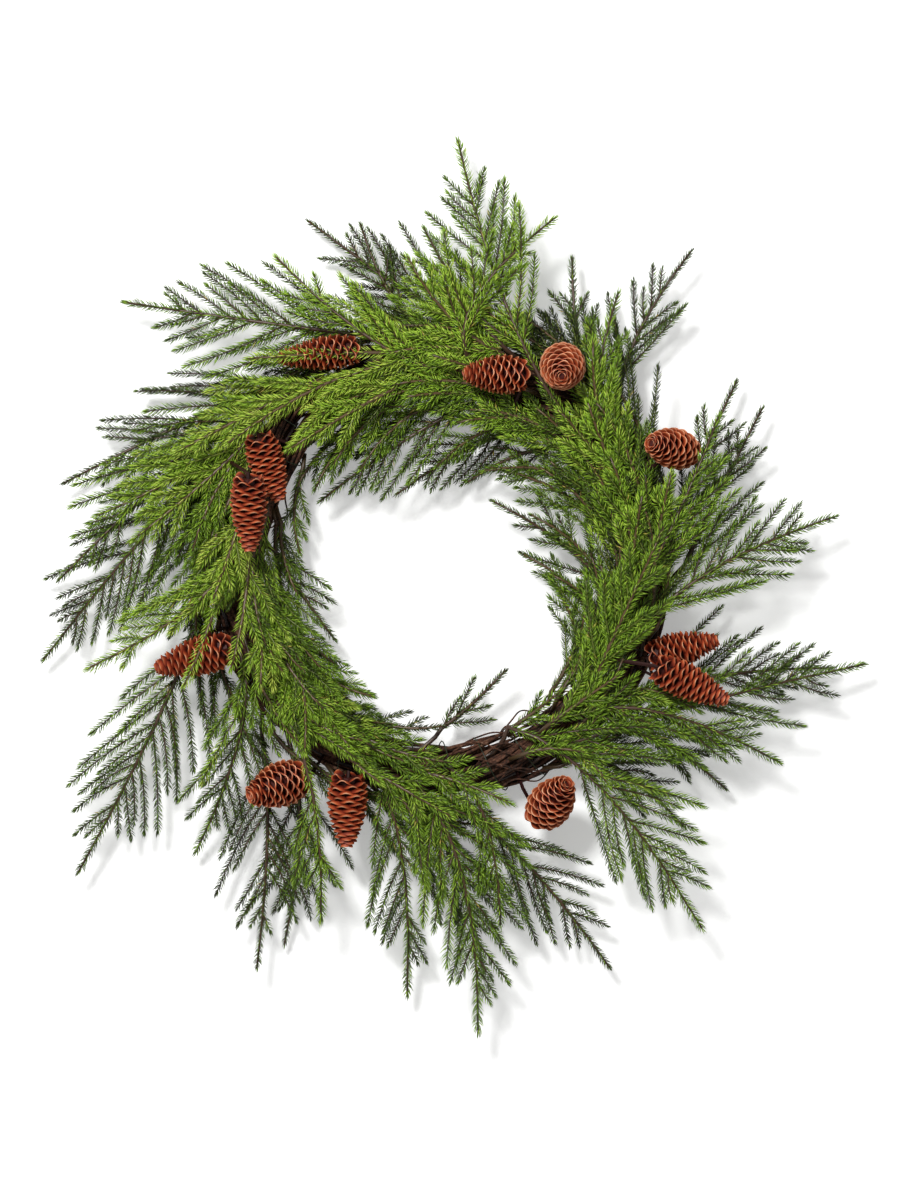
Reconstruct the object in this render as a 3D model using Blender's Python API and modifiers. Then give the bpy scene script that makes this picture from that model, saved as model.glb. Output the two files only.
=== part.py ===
"""Evergreen wreath lying on its back: a twisted grapevine ring, sprays wired to it, and spruce cones.

Metres, +Z up. +Y is the wreath's top when it hangs, and the front faces +Z. Clock angles are in degrees,
counter-clockwise from +X as seen from the front. A reach is a distance from the ring's own centre.
"""
import math
import random

import bpy
import bmesh
import numpy as np
from mathutils import Vector

MM = 0.001
GAP = 0.3 * MM                      # what touching pieces keep between their faces

# Grapevine ring: four hanks of vine twisted round each other like a rope.
RING_CENTRE = Vector((-0.0113, 0.0160, 0.0))  # puts the wreath's outline round the origin
RING_RADIUS = 177 * MM
HANKS = 4
HANK_RADIUS = 10.3 * MM
HANK_OFFSET = 15.0 * MM             # hank's centre from the ring's centreline
TWIST = 2                           # turns of the rope in one round of the ring
HANK_STEPS = 60
CHORD_SAG = 0.16 * MM               # a hank's straight pieces run this far inside its true curve
HANK_SPAN = 357.5                   # degrees: each hank's ends butt with a small gap
HANK_SEAM = 30.0                    # clock of the first hank's seam
PRESSED_FLAT = 1.8 * MM             # how far each hank is flattened underneath

# Paddle wire, wound the other way round over the hanks. It lies on the surface under the ring.
WIRE_RADIUS = 0.8 * MM
WIRE_TURNS = 34
WIRE_STEPS = 8                      # points in one turn
WIRE_SPAN = 357.0
WIRE_START = 180.0 / WIRE_STEPS
WIRE_INNER = HANK_OFFSET + HANK_RADIUS + GAP + WIRE_RADIUS
WIRE_REACH = WIRE_INNER / math.cos(math.pi / WIRE_STEPS)
WIRE_PITCH = 360.0 / (WIRE_TURNS + TWIST)   # degrees between two wires over one groove
RING_HEIGHT = WIRE_INNER + WIRE_RADIUS
BOUND_REACH = WIRE_REACH + WIRE_RADIUS      # nothing but stems passes inside this

# Spray stems lie in the grooves between hanks and leave between two wires.
STEM_RADIUS = 2.0 * MM
STEM_END_RADIUS = 0.9 * MM
TWIG_RADIUS = 1.2 * MM
TWIG_END_RADIUS = 0.7 * MM
GROOVE_HALF = HANK_OFFSET * math.sin(math.pi / HANKS)
SEAT_GAP = 0.3 * MM
GROOVE_DEEP = math.sqrt((HANK_RADIUS + STEM_RADIUS + SEAT_GAP) ** 2 - GROOVE_HALF ** 2)
GROOVE_SEAT = GROOVE_HALF + GROOVE_DEEP
FREE_REACH = 37 * MM                # distance from the ring's centreline where a stem is free
FREE_SLOPE = 0.42                   # its rise there, against its run along the ring
LOWEST_GROOVE, HIGHEST_GROOVE = -24.0, 204.0
# How far along a stem leaves: half pitches from its spot, and distance from the ring's centreline.
WAY_OUT = [(-1.4, GROOVE_SEAT), (-0.9, GROOVE_SEAT), (-0.4, GROOVE_SEAT + GAP),
           (0.1, GROOVE_SEAT + 6 * MM), (0.55, FREE_REACH - 8 * MM), (1.0, FREE_REACH)]
# Each stem takes the cheapest spot and detour that keep it clear of what is already there.
EARLY_COST, LATE_COST, SIDE_COST = 1.0, 3.0, 0.4    # for each degree off the wanted place
SPOT_TRIES = 9
DETOUR_COST = 3.0
# A detour is millimetres up at the tip, and millimetres aside at the knee.
DETOURS = [(0, 0), (6, 0), (-6, 0), (6, 14), (6, -14), (12, 0), (-12, 0), (12, 14), (12, -14),
           (0, 26), (0, -26), (20, 0), (20, 20), (20, -20), (30, 0), (30, 26), (30, -26)]
KNEE_SHARE = 0.36                   # where along a stem its curve's knee lies
KNEE_LIFT = 0.6                     # the knee's share of a detour's lift
NEEDLE_ROOM = 9 * MM                # stems stay this far above the surface
LOWEST_TIP = 12                     # mm
STEM_SPARE, ROOT_SPARE, TWIG_SPARE, STALK_SPARE = 1.2 * MM, 0.6 * MM, 1.0 * MM, 0.5 * MM

# Twigs stand in staggered pairs, the longer the further they are from the spray's tip.
PAIR_PITCH = 27 * MM
FIRST_PAIR = 34 * MM
STAGGER = 8 * MM
TWIG_SHARE = 0.55                   # a twig's length over its distance from the tip
TWIG_LONGEST = 92 * MM
TWIG_SHORTEST = 14 * MM
BUILT_TWIG = 30 * MM                # shorter twigs are left out of the solids
BUILT_TWIGS = 7                     # the most that one solid carries
TWIG_ANGLE = 31.0
TWIG_FORK = 9 * MM                  # this near its stem, a twig isn't measured
TWIG_CUTS = (1.0, 0.82, 0.66, 0.5)  # a twig that is in the way is cut to these shares
TWIG_LIFTS = (0, 12, -12, 24, -24, 36)
STEM_PIECES = 6

# clock where it is tied, side of the ring it leaves from, tip's clock, tip's reach, tip's height.
# Sides: 0 is outwards, 90 is the front, 180 is inwards.
SPRAYS = [
    # the outer sprays' lower layer
    (106, 15, 139.9, 360, 34), (122, 0, 167.3, 338, 24), (160, 0, 193.0, 357, 20),
    (196, 10, 220.1, 414, 28), (204, 0, 229.3, 329, 18), (220, 15, 245.4, 384, 34),
    (229, 0, 247.5, 358, 18), (240, 0, 265.6, 375, 24), (257, 0, 276.2, 355, 20),
    (271, 0, 293.0, 380, 26), (297, 0, 313.3, 312, 22), (306, 0, 322.3, 317, 20),
    (309, 20, 347.2, 380, 36), (335, 0, 345.7, 355, 18), (354, 0, 26.4, 315, 28),
    (14, 0, 32.2, 307, 22), (25, 15, 51.6, 353, 34), (46, 0, 66.9, 295, 24),
    (50, 15, 87.6, 373, 36), (66, 0, 92.7, 298, 24), (88, 0, 103.0, 308, 30),
    (92, 10, 110.8, 326, 18),
    # inner sprays
    (75, 180, 151.0, 120, 30), (66, 180, 121.0, 74, 46), (40, 180, 72.0, 79, 34),
    (350, 180, 52.2, 74, 40), (172, 180, 214.4, 111, 36), (270, 180, 302.6, 106, 40),
    # the outer sprays' upper layer
    (150, 40, 181.8, 331, 48), (178, 50, 196.0, 317, 62), (233, 50, 251.4, 323, 48),
    (246, 40, 274.7, 406, 42), (262, 60, 279.6, 314, 58), (280, 40, 306.0, 387, 42),
    (310, 50, 330.2, 340, 52), (341, 40, 7.4, 347, 40), (8, 50, 28.4, 274, 56),
    (33, 50, 57.0, 284, 52), (56, 50, 71.9, 318, 60), (78, 50, 117.8, 304, 56),
    # front sprays
    (100, 100, 142.6, 165, 88), (205, 100, 234.0, 197, 88), (335, 90, 10.9, 196, 90),
]

# Spruce cones: base and tip as clock, reach and height, then the diameter.
CONES = [
    ((111.0, 202, 64), (128.6, 230, 70), 29), ((66.5, 181, 72), (83.3, 168, 79), 33),
    ((59.2, 208, 62), (57.4, 192, 115), 37), ((25.2, 237, 46), (30.7, 209, 90), 34),
    ((337.2, 199, 52), (345.7, 251, 58), 31), ((335.3, 206, 84), (335.1, 276, 77), 31),
    ((292.2, 233, 41), (300.7, 215, 80), 37), ((246.3, 197, 68), (251.6, 256, 62), 34),
    ((236.2, 219, 53), (230.2, 256, 79), 38), ((200.8, 195, 66), (199.5, 263, 64), 34),
    ((155.0, 180, 104), (176.1, 163, 92), 31), ((144.3, 192, 74), (157.9, 149, 64), 31),
]
# The turned outline: share of the cone's length, share of its radius.
CONE_PROFILE = [(0.0, 0.22), (0.05, 0.62), (0.14, 0.86), (0.28, 1.0), (0.5, 0.99),
                (0.7, 0.86), (0.86, 0.62), (0.96, 0.32)]
CONE_SIDES = 10
STALK_RADIUS = 1.8 * MM
STALK_PULL = 4 * MM                 # the stalk runs this far along the cone's axis
STALK_BUTT = 0.62                   # it lies in the groove for this share of a wire pitch
CONE_CLEARANCE = 1.0 * MM
CONE_ROUNDING = 0.3                 # of the diameter: how far its ends are tapered


def clear_scene():
    for thing in list(bpy.data.objects):
        bpy.data.objects.remove(thing, do_unlink=True)


def make_material(name, colour, roughness):
    material = bpy.data.materials.new(name)
    material.use_nodes = True
    shader = material.node_tree.nodes["Principled BSDF"]
    shader.inputs["Base Color"].default_value = (*colour, 1.0)
    shader.inputs["Roughness"].default_value = roughness
    shader.inputs["Metallic"].default_value = 0.9 if name == "wire" else 0.0
    return material


def polar(clock, reach, height):
    """A point in the wreath's frame, from a clock angle and millimetres."""
    turn = math.radians(clock)
    flat = Vector((math.cos(turn), math.sin(turn), 0.0))
    return RING_CENTRE + flat * reach * MM + Vector((0.0, 0.0, height * MM))


def round_ring(clock, distance, side):
    """A point at a distance from the ring's centreline, on the side given in degrees."""
    turn, lean = math.radians(clock), math.radians(side)
    out = Vector((math.cos(turn), math.sin(turn), 0.0))
    middle = RING_CENTRE + out * RING_RADIUS + Vector((0.0, 0.0, RING_HEIGHT))
    return middle + (out * math.cos(lean) + Vector((0.0, 0.0, math.sin(lean)))) * distance


def groove_side(groove, clock):
    """Where a groove between two hanks faces at that clock angle, from -180 to 180."""
    side = 360.0 / HANKS * groove + TWIST * clock
    return (side + 180.0) % 360.0 - 180.0


def tube(name, points, radii, sides):
    """A closed tube through the points as a mesh, with an even number of sides."""
    curve = bpy.data.curves.new(name, "CURVE")
    curve.dimensions = "3D"
    curve.bevel_depth = 1.0
    curve.bevel_resolution = sides // 2 - 2
    curve.use_fill_caps = True
    spline = curve.splines.new("POLY")
    spline.points.add(len(points) - 1)
    for place, point, radius in zip(spline.points, points, radii):
        place.co = (*point, 1.0)
        place.radius = radius
    guide = bpy.data.objects.new(name + "_curve", curve)
    bpy.context.scene.collection.objects.link(guide)
    bpy.context.view_layer.update()
    graph = bpy.context.evaluated_depsgraph_get()
    mesh = bpy.data.meshes.new_from_object(guide.evaluated_get(graph))
    bpy.data.objects.remove(guide, do_unlink=True)
    weld(mesh)
    return mesh


def weld(mesh):
    """Joins the caps of a tube to its side, and turns every face outwards."""
    shape = bmesh.new()
    shape.from_mesh(mesh)
    bmesh.ops.remove_doubles(shape, verts=shape.verts, dist=0.01 * MM)
    bmesh.ops.recalc_face_normals(shape, faces=shape.faces)
    shape.to_mesh(mesh)
    shape.free()


def place(name, mesh, material, home):
    """The mesh as a named object of the wreath, shaded smooth."""
    thing = bpy.data.objects.new(name, mesh)
    home.objects.link(thing)
    mesh.materials.clear()
    mesh.materials.append(material)
    mesh.shade_smooth()
    mesh.set_sharp_from_angle(angle=math.radians(50))
    return thing


def combine(body, helper, operation):
    """Applies a Boolean with the helper, and removes the helper."""
    modifier = body.modifiers.new("combine", "BOOLEAN")
    modifier.operation = operation
    modifier.object = helper
    with bpy.context.temp_override(object=body):
        bpy.ops.object.modifier_apply(modifier=modifier.name)
    bpy.data.objects.remove(helper, do_unlink=True)


def make_hank(number, material, home):
    """One hank: a long rope strand that comes round to its own start, flattened underneath."""
    start = HANK_SEAM + 360.0 / HANKS * number
    points = []
    for step in range(HANK_STEPS + 1):
        clock = start + HANK_SPAN * step / HANK_STEPS
        side = groove_side(number, clock) + 180.0 / HANKS
        turn = math.radians(clock)
        outward = Vector((math.cos(turn), math.sin(turn), 0.0))
        points.append(round_ring(clock, HANK_OFFSET, side) + outward * CHORD_SAG)
    mesh = tube("hank", points, [HANK_RADIUS] * len(points), 8)
    hank = place(f"vine_hank_{number + 1}", mesh, material, home)
    deep = 20 * MM
    level = RING_HEIGHT - HANK_OFFSET - HANK_RADIUS + PRESSED_FLAT
    bpy.ops.mesh.primitive_cube_add(size=1.0, location=(0.0, 0.0, level - deep / 2))
    floor = bpy.context.object
    floor.scale = (1.0, 1.0, deep)
    combine(hank, floor, "DIFFERENCE")


def make_wire(material, home):
    """The paddle wire: one long helix round the whole ring."""
    count = round(WIRE_TURNS * WIRE_STEPS * WIRE_SPAN / 360.0)
    points = []
    for step in range(count + 1):
        clock = step * 360.0 / (WIRE_TURNS * WIRE_STEPS)
        points.append(round_ring(clock, WIRE_REACH, WIRE_START - WIRE_TURNS * clock))
    mesh = tube("wire", points, [WIRE_RADIUS] * len(points), 4)
    place("binding_wire", mesh, material, home)


def free_spots():
    """Every place between two wires where a stem can leave a groove, as (clock, groove, side)."""
    spots = []
    for groove in range(HANKS):
        for count in range(WIRE_TURNS + TWIST):
            shift = (WIRE_START - 360.0 / HANKS * groove) / (WIRE_TURNS + TWIST)
            clock = (WIRE_PITCH * (count + 0.5) + shift) % 360.0
            side = groove_side(groove, clock)
            if side < -90.0:
                side += 360.0
            if LOWEST_GROOVE < side < HIGHEST_GROOVE:
                spots.append((clock, groove, side))
    return spots


def nearest_spots(spots, clock, side):
    """The free spots by their cost. One past the wanted place costs more than one before it."""
    def cost(spot):
        late = (spot[0] - clock + 180.0) % 360.0 - 180.0
        return max(late * LATE_COST, -late * EARLY_COST) + abs(spot[2] - side) * SIDE_COST
    return sorted(((cost(spot), spot) for spot in spots), key=lambda pair: pair[0])[:SPOT_TRIES]


def far_enough(points, radius, placed, spare, leaving=False):
    """Whether a polyline keeps its distance to the rods placed so far, and to ring and ground.

    A polyline that is leaving the ring isn't measured against the ring itself.
    """
    dense = []
    for a, b in zip(points, points[1:]):
        pieces = max(1, math.ceil((b - a).length / (2 * MM)))
        dense += [a.lerp(b, i / pieces) for i in range(pieces)]
    dense = np.array([tuple(p) for p in [*dense, points[-1]]])
    if dense[:, 2].min() < NEEDLE_ROOM:
        return False
    across = np.hypot(dense[:, 0] - RING_CENTRE.x, dense[:, 1] - RING_CENTRE.y) - RING_RADIUS
    from_ring = np.hypot(across, dense[:, 2] - RING_HEIGHT).min()
    if from_ring < BOUND_REACH + radius + spare and not leaving:
        return False
    if not placed:
        return True
    rods = np.array(placed)
    start, run, thick = rods[:, 0:3], rods[:, 3:6] - rods[:, 0:3], rods[:, 6]
    offset = dense[:, None, :] - start[None]
    share = (offset * run).sum(2) / np.maximum((run * run).sum(1), 1e-12)
    nearest = offset - np.clip(share, 0.0, 1.0)[:, :, None] * run
    room = np.linalg.norm(nearest, axis=2) - thick
    return bool(room.min() > radius + spare)


def add_rods(placed, points, radius):
    """Notes the room that a polyline takes, one rod for each straight piece."""
    for a, b in zip(points, points[1:]):
        placed.append((*a, *b, radius))


def bend(start, knee, end, pieces):
    """Points along a quadratic curve, the start left out."""
    found = []
    for step in range(1, pieces + 1):
        t = step / pieces
        found.append(start * (1 - t) ** 2 + knee * 2 * t * (1 - t) + end * t * t)
    return found


def stem_root(spot):
    """A stem's butt in the groove, and its way out between two wires."""
    clock, groove, _ = spot
    points = []
    for ahead, distance in WAY_OUT:
        at = clock + ahead * WIRE_PITCH / 2
        points.append(round_ring(at, distance, groove_side(groove, at)))
    return points


def stem_run(row, spot, leave, lift, swing):
    """A stem's free run from the ring to its tip, lifted and swung aside in millimetres."""
    turn = math.radians(spot[0] + WIRE_PITCH / 2)
    outward = Vector((math.cos(turn), math.sin(turn), 0.0))
    along = Vector((-math.sin(turn), math.cos(turn), 0.0))
    middle = RING_CENTRE + outward * RING_RADIUS + Vector((0.0, 0.0, RING_HEIGHT))
    heading = (along + (leave - middle).normalized() * FREE_SLOPE).normalized()
    tip = polar(row[2], row[3], max(row[4] + lift, LOWEST_TIP))
    away = tip - leave
    aside = away.cross(Vector((0.0, 0.0, 1.0))).normalized()
    knee = leave + (heading + away.normalized()).normalized() * away.length * KNEE_SHARE
    knee += aside * swing * MM
    knee.z = max(knee.z + lift * KNEE_LIFT * MM, LOWEST_TIP * MM)
    return bend(leave, knee, tip, STEM_PIECES)


def route_stem(row, spots, placed):
    """A stem's points, at the first spot and along the first detour that keep clear."""
    tries = []
    for cost, spot in nearest_spots(spots, row[0], row[1]):
        for rank, detour in enumerate(DETOURS):
            tries.append((cost + rank * DETOUR_COST, len(tries), spot, detour))
    for _, _, spot, (lift, swing) in sorted(tries):
        root = stem_root(spot)
        free = stem_run(row, spot, root[-1], lift, swing)
        leaves = far_enough(root[2:], STEM_RADIUS, placed, ROOT_SPARE, leaving=True)
        if leaves and far_enough([root[-1], *free], STEM_RADIUS, placed, STEM_SPARE):
            spots.remove(spot)
            return root, free
    raise ValueError(f"no room for the spray that leaves at {row[0]}")


def point_at(points, distance_from_end):
    """The point and direction at a distance back from the end of a polyline, or None past its start."""
    left = distance_from_end
    for b, a in zip(points[::-1], points[-2::-1]):
        length = (b - a).length
        if left <= length:
            return b.lerp(a, left / length), (b - a).normalized()
        left -= length
    return None


def grow_twigs(free, seed, placed):
    """The spray's twigs as (start, end) pairs, each turned, lifted or shortened until it is clear."""
    chance = random.Random(seed)
    roll = math.radians(chance.uniform(-14, 14))
    found = []
    back = FIRST_PAIR
    while True:
        for hand in (1.0, -1.0):
            distance = back + (STAGGER if hand < 0 else 0.0)
            length = min(TWIG_LONGEST, TWIG_SHARE * distance) * chance.uniform(0.86, 1.1)
            angle = math.radians(TWIG_ANGLE + chance.uniform(-5, 5))
            at = point_at(free, distance)
            if at is None:
                return found
            start, ahead = at
            across = Vector((0.0, 0.0, 1.0)).cross(ahead).normalized() * hand
            up = ahead.cross(across) * hand
            twig = settle_twig(start, ahead, across, up, length, angle, roll * hand, placed)
            if twig:
                found.append(twig)
                add_rods(placed, twig, TWIG_RADIUS)
        back += PAIR_PITCH


def settle_twig(start, ahead, across, up, length, angle, roll, placed):
    """A twig that keeps clear of what is there, cut and turned about its stem as needed, or None."""
    for cut in TWIG_CUTS:
        reach = length * cut
        for lift in TWIG_LIFTS:
            lean = roll + math.radians(lift)
            aside = across * math.cos(lean) + up * math.sin(lean)
            end = start + (ahead * math.cos(angle) + aside * math.sin(angle)) * reach
            if reach < TWIG_SHORTEST:
                continue
            past_fork = start.lerp(end, min(0.3, TWIG_FORK / reach))
            if far_enough([past_fork, end], TWIG_RADIUS, placed, TWIG_SPARE):
                return (start, end)
    return None


def make_spray(number, root, free, twigs, material, home):
    """A spray's wood: the stem, with its longest twigs joined to it."""
    points = root + free
    count = len(points)
    radii = []
    for i in range(count):
        worn = max(0.0, (i - len(root)) / (count - 1 - len(root)))
        radii.append(STEM_RADIUS + (STEM_END_RADIUS - STEM_RADIUS) * worn)
    spray = place(f"spray_{number:02d}", tube("stem", points, radii, 4), material, home)
    longest = sorted(twigs, key=lambda twig: -(twig[1] - twig[0]).length)[:BUILT_TWIGS]
    twig_shapes = bmesh.new()
    for start, end in longest:
        if (end - start).length >= BUILT_TWIG:
            twig_shapes.from_mesh(tube("twig", [start, end], [TWIG_RADIUS, TWIG_END_RADIUS], 4))
    if twig_shapes.verts:
        mesh = bpy.data.meshes.new("twigs")
        twig_shapes.to_mesh(mesh)
        helper = bpy.data.objects.new("twigs", mesh)
        bpy.context.scene.collection.objects.link(helper)
        combine(spray, helper, "UNION")
    twig_shapes.free()


def route_stalk(cone, spots, placed):
    """A cone's stalk: along the groove under the wire, out of the ring, and into the cone's base."""
    base, tip = polar(*cone[0]), polar(*cone[1])
    ahead = (tip - base).normalized()
    across = base - RING_CENTRE
    lean = math.degrees(math.atan2(base.z - RING_HEIGHT, across.xy.length - RING_RADIUS))
    for _, spot in nearest_spots(spots, cone[0][0], lean):
        clock, groove, side = spot
        behind = clock - WIRE_PITCH * STALK_BUTT
        points = [round_ring(behind, GROOVE_SEAT, groove_side(groove, behind)),
                  round_ring(clock, GROOVE_SEAT, side), round_ring(clock, FREE_REACH, side),
                  base - ahead * STALK_PULL, base + ahead * STALK_PULL]
        if far_enough(points[1:4], STALK_RADIUS, placed, STALK_SPARE, leaving=True):
            spots.remove(spot)
            return points
    raise ValueError(f"no room for the cone at {cone[0][0]}")


def make_cone(number, cone, stalk_points, material, home):
    """A turned cone body, joined to the stalk that seats it in a groove of the ring."""
    base, tip, diameter = polar(*cone[0]), polar(*cone[1]), cone[2] * MM
    axis = tip - base
    profile = [Vector((share_r * diameter / 2, 0.0, share_z * axis.length))
               for share_z, share_r in reversed(CONE_PROFILE)]
    profile = [Vector((0.0, 0.0, axis.length)), *profile, Vector((0.0, 0.0, 0.0))]
    mesh = bpy.data.meshes.new("cone")
    mesh.from_pydata(profile, [(i, i + 1) for i in range(len(profile) - 1)], [])
    body = place(f"cone_{number:02d}", mesh, material, home)
    screw = body.modifiers.new("turn", "SCREW")
    screw.steps = screw.render_steps = CONE_SIDES
    screw.use_merge_vertices = True
    screw.merge_threshold = 0.01 * MM
    body.rotation_mode = "QUATERNION"
    body.rotation_quaternion = axis.to_track_quat("Z", "Y")
    body.location = base
    bpy.context.view_layer.update()
    with bpy.context.temp_override(object=body):
        bpy.ops.object.modifier_apply(modifier=screw.name)
    weld(body.data)
    stalk = bpy.data.objects.new("stalk", tube("stalk", stalk_points, [STALK_RADIUS] * 5, 4))
    bpy.context.scene.collection.objects.link(stalk)
    combine(body, stalk, "UNION")


def cone_rod(cone):
    """The room that a cone's body takes, as a thick rod along its axis."""
    base, tip, diameter = polar(*cone[0]), polar(*cone[1]), cone[2] * MM
    inset = (tip - base).normalized() * diameter * CONE_ROUNDING
    return (*(base + inset), *(tip - inset), diameter / 2 + CONE_CLEARANCE)


def lay_out():
    """Finds room for everything tied to the ring: cones first, then stems, then twigs."""
    spots = free_spots()
    bodies = [cone_rod(cone) for cone in CONES]
    stalks = []
    placed = list(bodies)
    for cone, body in zip(CONES, bodies):
        others = [rod for rod in placed if rod is not body]
        stalks.append(route_stalk(cone, spots, others))
        add_rods(placed, stalks[-1][1:4], STALK_RADIUS)
    stems = []
    for row in SPRAYS:
        root, free = route_stem(row, spots, placed)
        add_rods(placed, root[3:] + free, STEM_RADIUS)
        stems.append((root, free))
    sprays = []
    for number, (root, free) in enumerate(stems):
        sprays.append((root, free, grow_twigs([root[-1], *free], number, placed)))
    return stalks, sprays


def main():
    clear_scene()
    home = bpy.data.collections.new("evergreen_wreath")
    bpy.context.scene.collection.children.link(home)
    vine = make_material("vine", (0.10, 0.055, 0.04), 0.85)
    wire = make_material("wire", (0.06, 0.08, 0.05), 0.45)
    wood = make_material("spray", (0.10, 0.20, 0.04), 0.7)
    scale = make_material("cone", (0.36, 0.09, 0.035), 0.6)

    for number in range(HANKS):
        make_hank(number, vine, home)
    make_wire(wire, home)
    cone_stalks, sprays = lay_out()
    for number, (cone, stalk) in enumerate(zip(CONES, cone_stalks)):
        make_cone(number + 1, cone, stalk, scale, home)
    for number, (root, free, twigs) in enumerate(sprays):
        make_spray(number + 1, root, free, twigs, wood, home)


main()
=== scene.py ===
"""The looks of an evergreen wreath: vine canes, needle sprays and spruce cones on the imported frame."""
import math
import random

import bmesh
import bpy
import numpy as np
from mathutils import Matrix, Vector


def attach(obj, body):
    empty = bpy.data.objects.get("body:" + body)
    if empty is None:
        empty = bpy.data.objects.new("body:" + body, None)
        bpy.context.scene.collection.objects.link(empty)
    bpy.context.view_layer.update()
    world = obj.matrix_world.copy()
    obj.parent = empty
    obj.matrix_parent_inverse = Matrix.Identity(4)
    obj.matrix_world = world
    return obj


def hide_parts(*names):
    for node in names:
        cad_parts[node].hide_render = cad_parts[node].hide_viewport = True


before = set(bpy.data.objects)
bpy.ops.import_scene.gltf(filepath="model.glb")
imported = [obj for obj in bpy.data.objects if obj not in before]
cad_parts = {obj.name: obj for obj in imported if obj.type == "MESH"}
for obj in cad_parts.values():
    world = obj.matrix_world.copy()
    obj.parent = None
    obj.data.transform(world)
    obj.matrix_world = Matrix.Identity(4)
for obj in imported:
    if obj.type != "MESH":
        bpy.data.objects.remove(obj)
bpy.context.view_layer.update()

bpy.ops.object.select_all(action="DESELECT")

# ---- Vine ring -------------------------------------------------------------------------------------
# Four hanks of dry grapevine, each a bundle of long thin canes, are twisted round each other into a
# rope that holds itself closed. The bark is dark, stringy and dull, with redder and greyer canes.
MM = 0.001
GAP = 0.3 * MM
RING_CENTRE = Vector((-0.0113, 0.0160, 0.0))
RING_RADIUS = 177 * MM
HANKS = 4
HANK_RADIUS = 10.3 * MM
HANK_OFFSET = 15.0 * MM
TWIST = 2
WIRE_RADIUS = 0.8 * MM
WIRE_INNER = HANK_OFFSET + HANK_RADIUS + GAP + WIRE_RADIUS
RING_HEIGHT = WIRE_INNER + WIRE_RADIUS
CANE_STEPS = 120
CANES = 20                              # in one hank
CANE_LAYERS = [(0.4, 3.0), (5.2, 2.2), (8.3, 1.5)]   # distance from the hank's middle, radius (mm)
CANE_SEATS = (6, 6, 13)                 # canes side by side in each layer
CANE_TURNS = (2, 3, 3, 4)               # times a cane goes round its hank
CANE_WANDER = 0.11                      # how far a cane strays from its layer, over its distance
CANE_SWELL = 0.10                       # how much its thickness varies
SEAM_CLOCK = 30.0                       # where the first hank's ends meet
PATCH_SCALE = 55.0                      # patches of bark about 18 mm long
FIBRE_SCALE = 420.0                     # fibres 2.4 mm apart, coarser than real ones so that they show


def linear(hex_colour):
    """An sRGB hex colour as linear RGBA."""
    parts = [int(hex_colour[i:i + 2], 16) / 255 for i in (1, 3, 5)]
    return (*[c / 12.92 if c <= 0.04045 else ((c + 0.055) / 1.055) ** 2.4 for c in parts], 1.0)


def add_node(tree, kind, links=(), stops=(), **settings):
    """A node with its settings. links are (input, source), and stops a ramp's (place, hex colour)."""
    node = tree.nodes.new(kind)
    for index, (place, colour) in enumerate(stops):
        element = node.color_ramp.elements[index] if index < 2 else node.color_ramp.elements.new(1.0)
        element.position = place
        element.color = linear(colour)
    for name, value in settings.items():
        if hasattr(node, name):
            setattr(node, name, value)
        else:
            node.inputs[name.replace("_", " ")].default_value = value
    for name, source in links:
        tree.links.new(source, node.inputs[name])
    return node


def start_material(name, roughness, specular):
    """A new material, its node tree and its shader."""
    material = bpy.data.materials.new(name)
    material.use_nodes = True
    shader = material.node_tree.nodes["Principled BSDF"]
    shader.inputs["Roughness"].default_value = roughness
    shader.inputs["Specular IOR Level"].default_value = specular
    return material, material.node_tree, shader


def round_ring(clock, distance, side):
    """A point at a distance from the ring's centreline, on the side given in degrees."""
    turn, lean = math.radians(clock), math.radians(side)
    out = Vector((math.cos(turn), math.sin(turn), 0.0))
    middle = RING_CENTRE + out * RING_RADIUS + Vector((0.0, 0.0, RING_HEIGHT))
    return middle + (out * math.cos(lean) + Vector((0.0, 0.0, math.sin(lean)))) * distance


def groove_side(groove, clock):
    """Where a groove between two hanks faces at that clock angle, from -180 to 180."""
    side = 360.0 / HANKS * groove + TWIST * clock
    return (side + 180.0) % 360.0 - 180.0


def tube(name, runs, sides):
    """One mesh of closed tubes. A run is (points, radii)."""
    curve = bpy.data.curves.new(name, "CURVE")
    curve.dimensions = "3D"
    curve.bevel_depth = 1.0
    curve.bevel_resolution = sides // 2 - 2
    curve.use_fill_caps = True
    for points, radii in runs:
        spline = curve.splines.new("POLY")
        spline.points.add(len(points) - 1)
        spline.points.foreach_set("co", np.column_stack([np.array([tuple(p) for p in points]),
                                                         np.ones(len(points))]).ravel())
        spline.points.foreach_set("radius", np.array(radii, dtype=float))
    guide = bpy.data.objects.new(name, curve)
    bpy.context.scene.collection.objects.link(guide)
    bpy.context.view_layer.update()
    graph = bpy.context.evaluated_depsgraph_get()
    mesh = bpy.data.meshes.new_from_object(guide.evaluated_get(graph))
    bpy.data.objects.remove(guide, do_unlink=True)
    shape = bmesh.new()
    shape.from_mesh(mesh)
    bmesh.ops.remove_doubles(shape, verts=shape.verts, dist=0.01 * MM)
    bmesh.ops.recalc_face_normals(shape, faces=shape.faces)
    shape.to_mesh(mesh)
    shape.free()
    return mesh


def show(name, mesh, material, slot_name, *nodes):
    """The mesh as a smooth piece of the wreath that stands for the CAD nodes named."""
    piece = bpy.data.objects.new(name, mesh)
    bpy.context.scene.collection.objects.link(piece)
    mesh.materials.clear()
    mesh.materials.append(material)
    mesh.shade_smooth()
    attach(piece, "root")
    if nodes:
        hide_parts(*nodes)
    return piece


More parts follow.
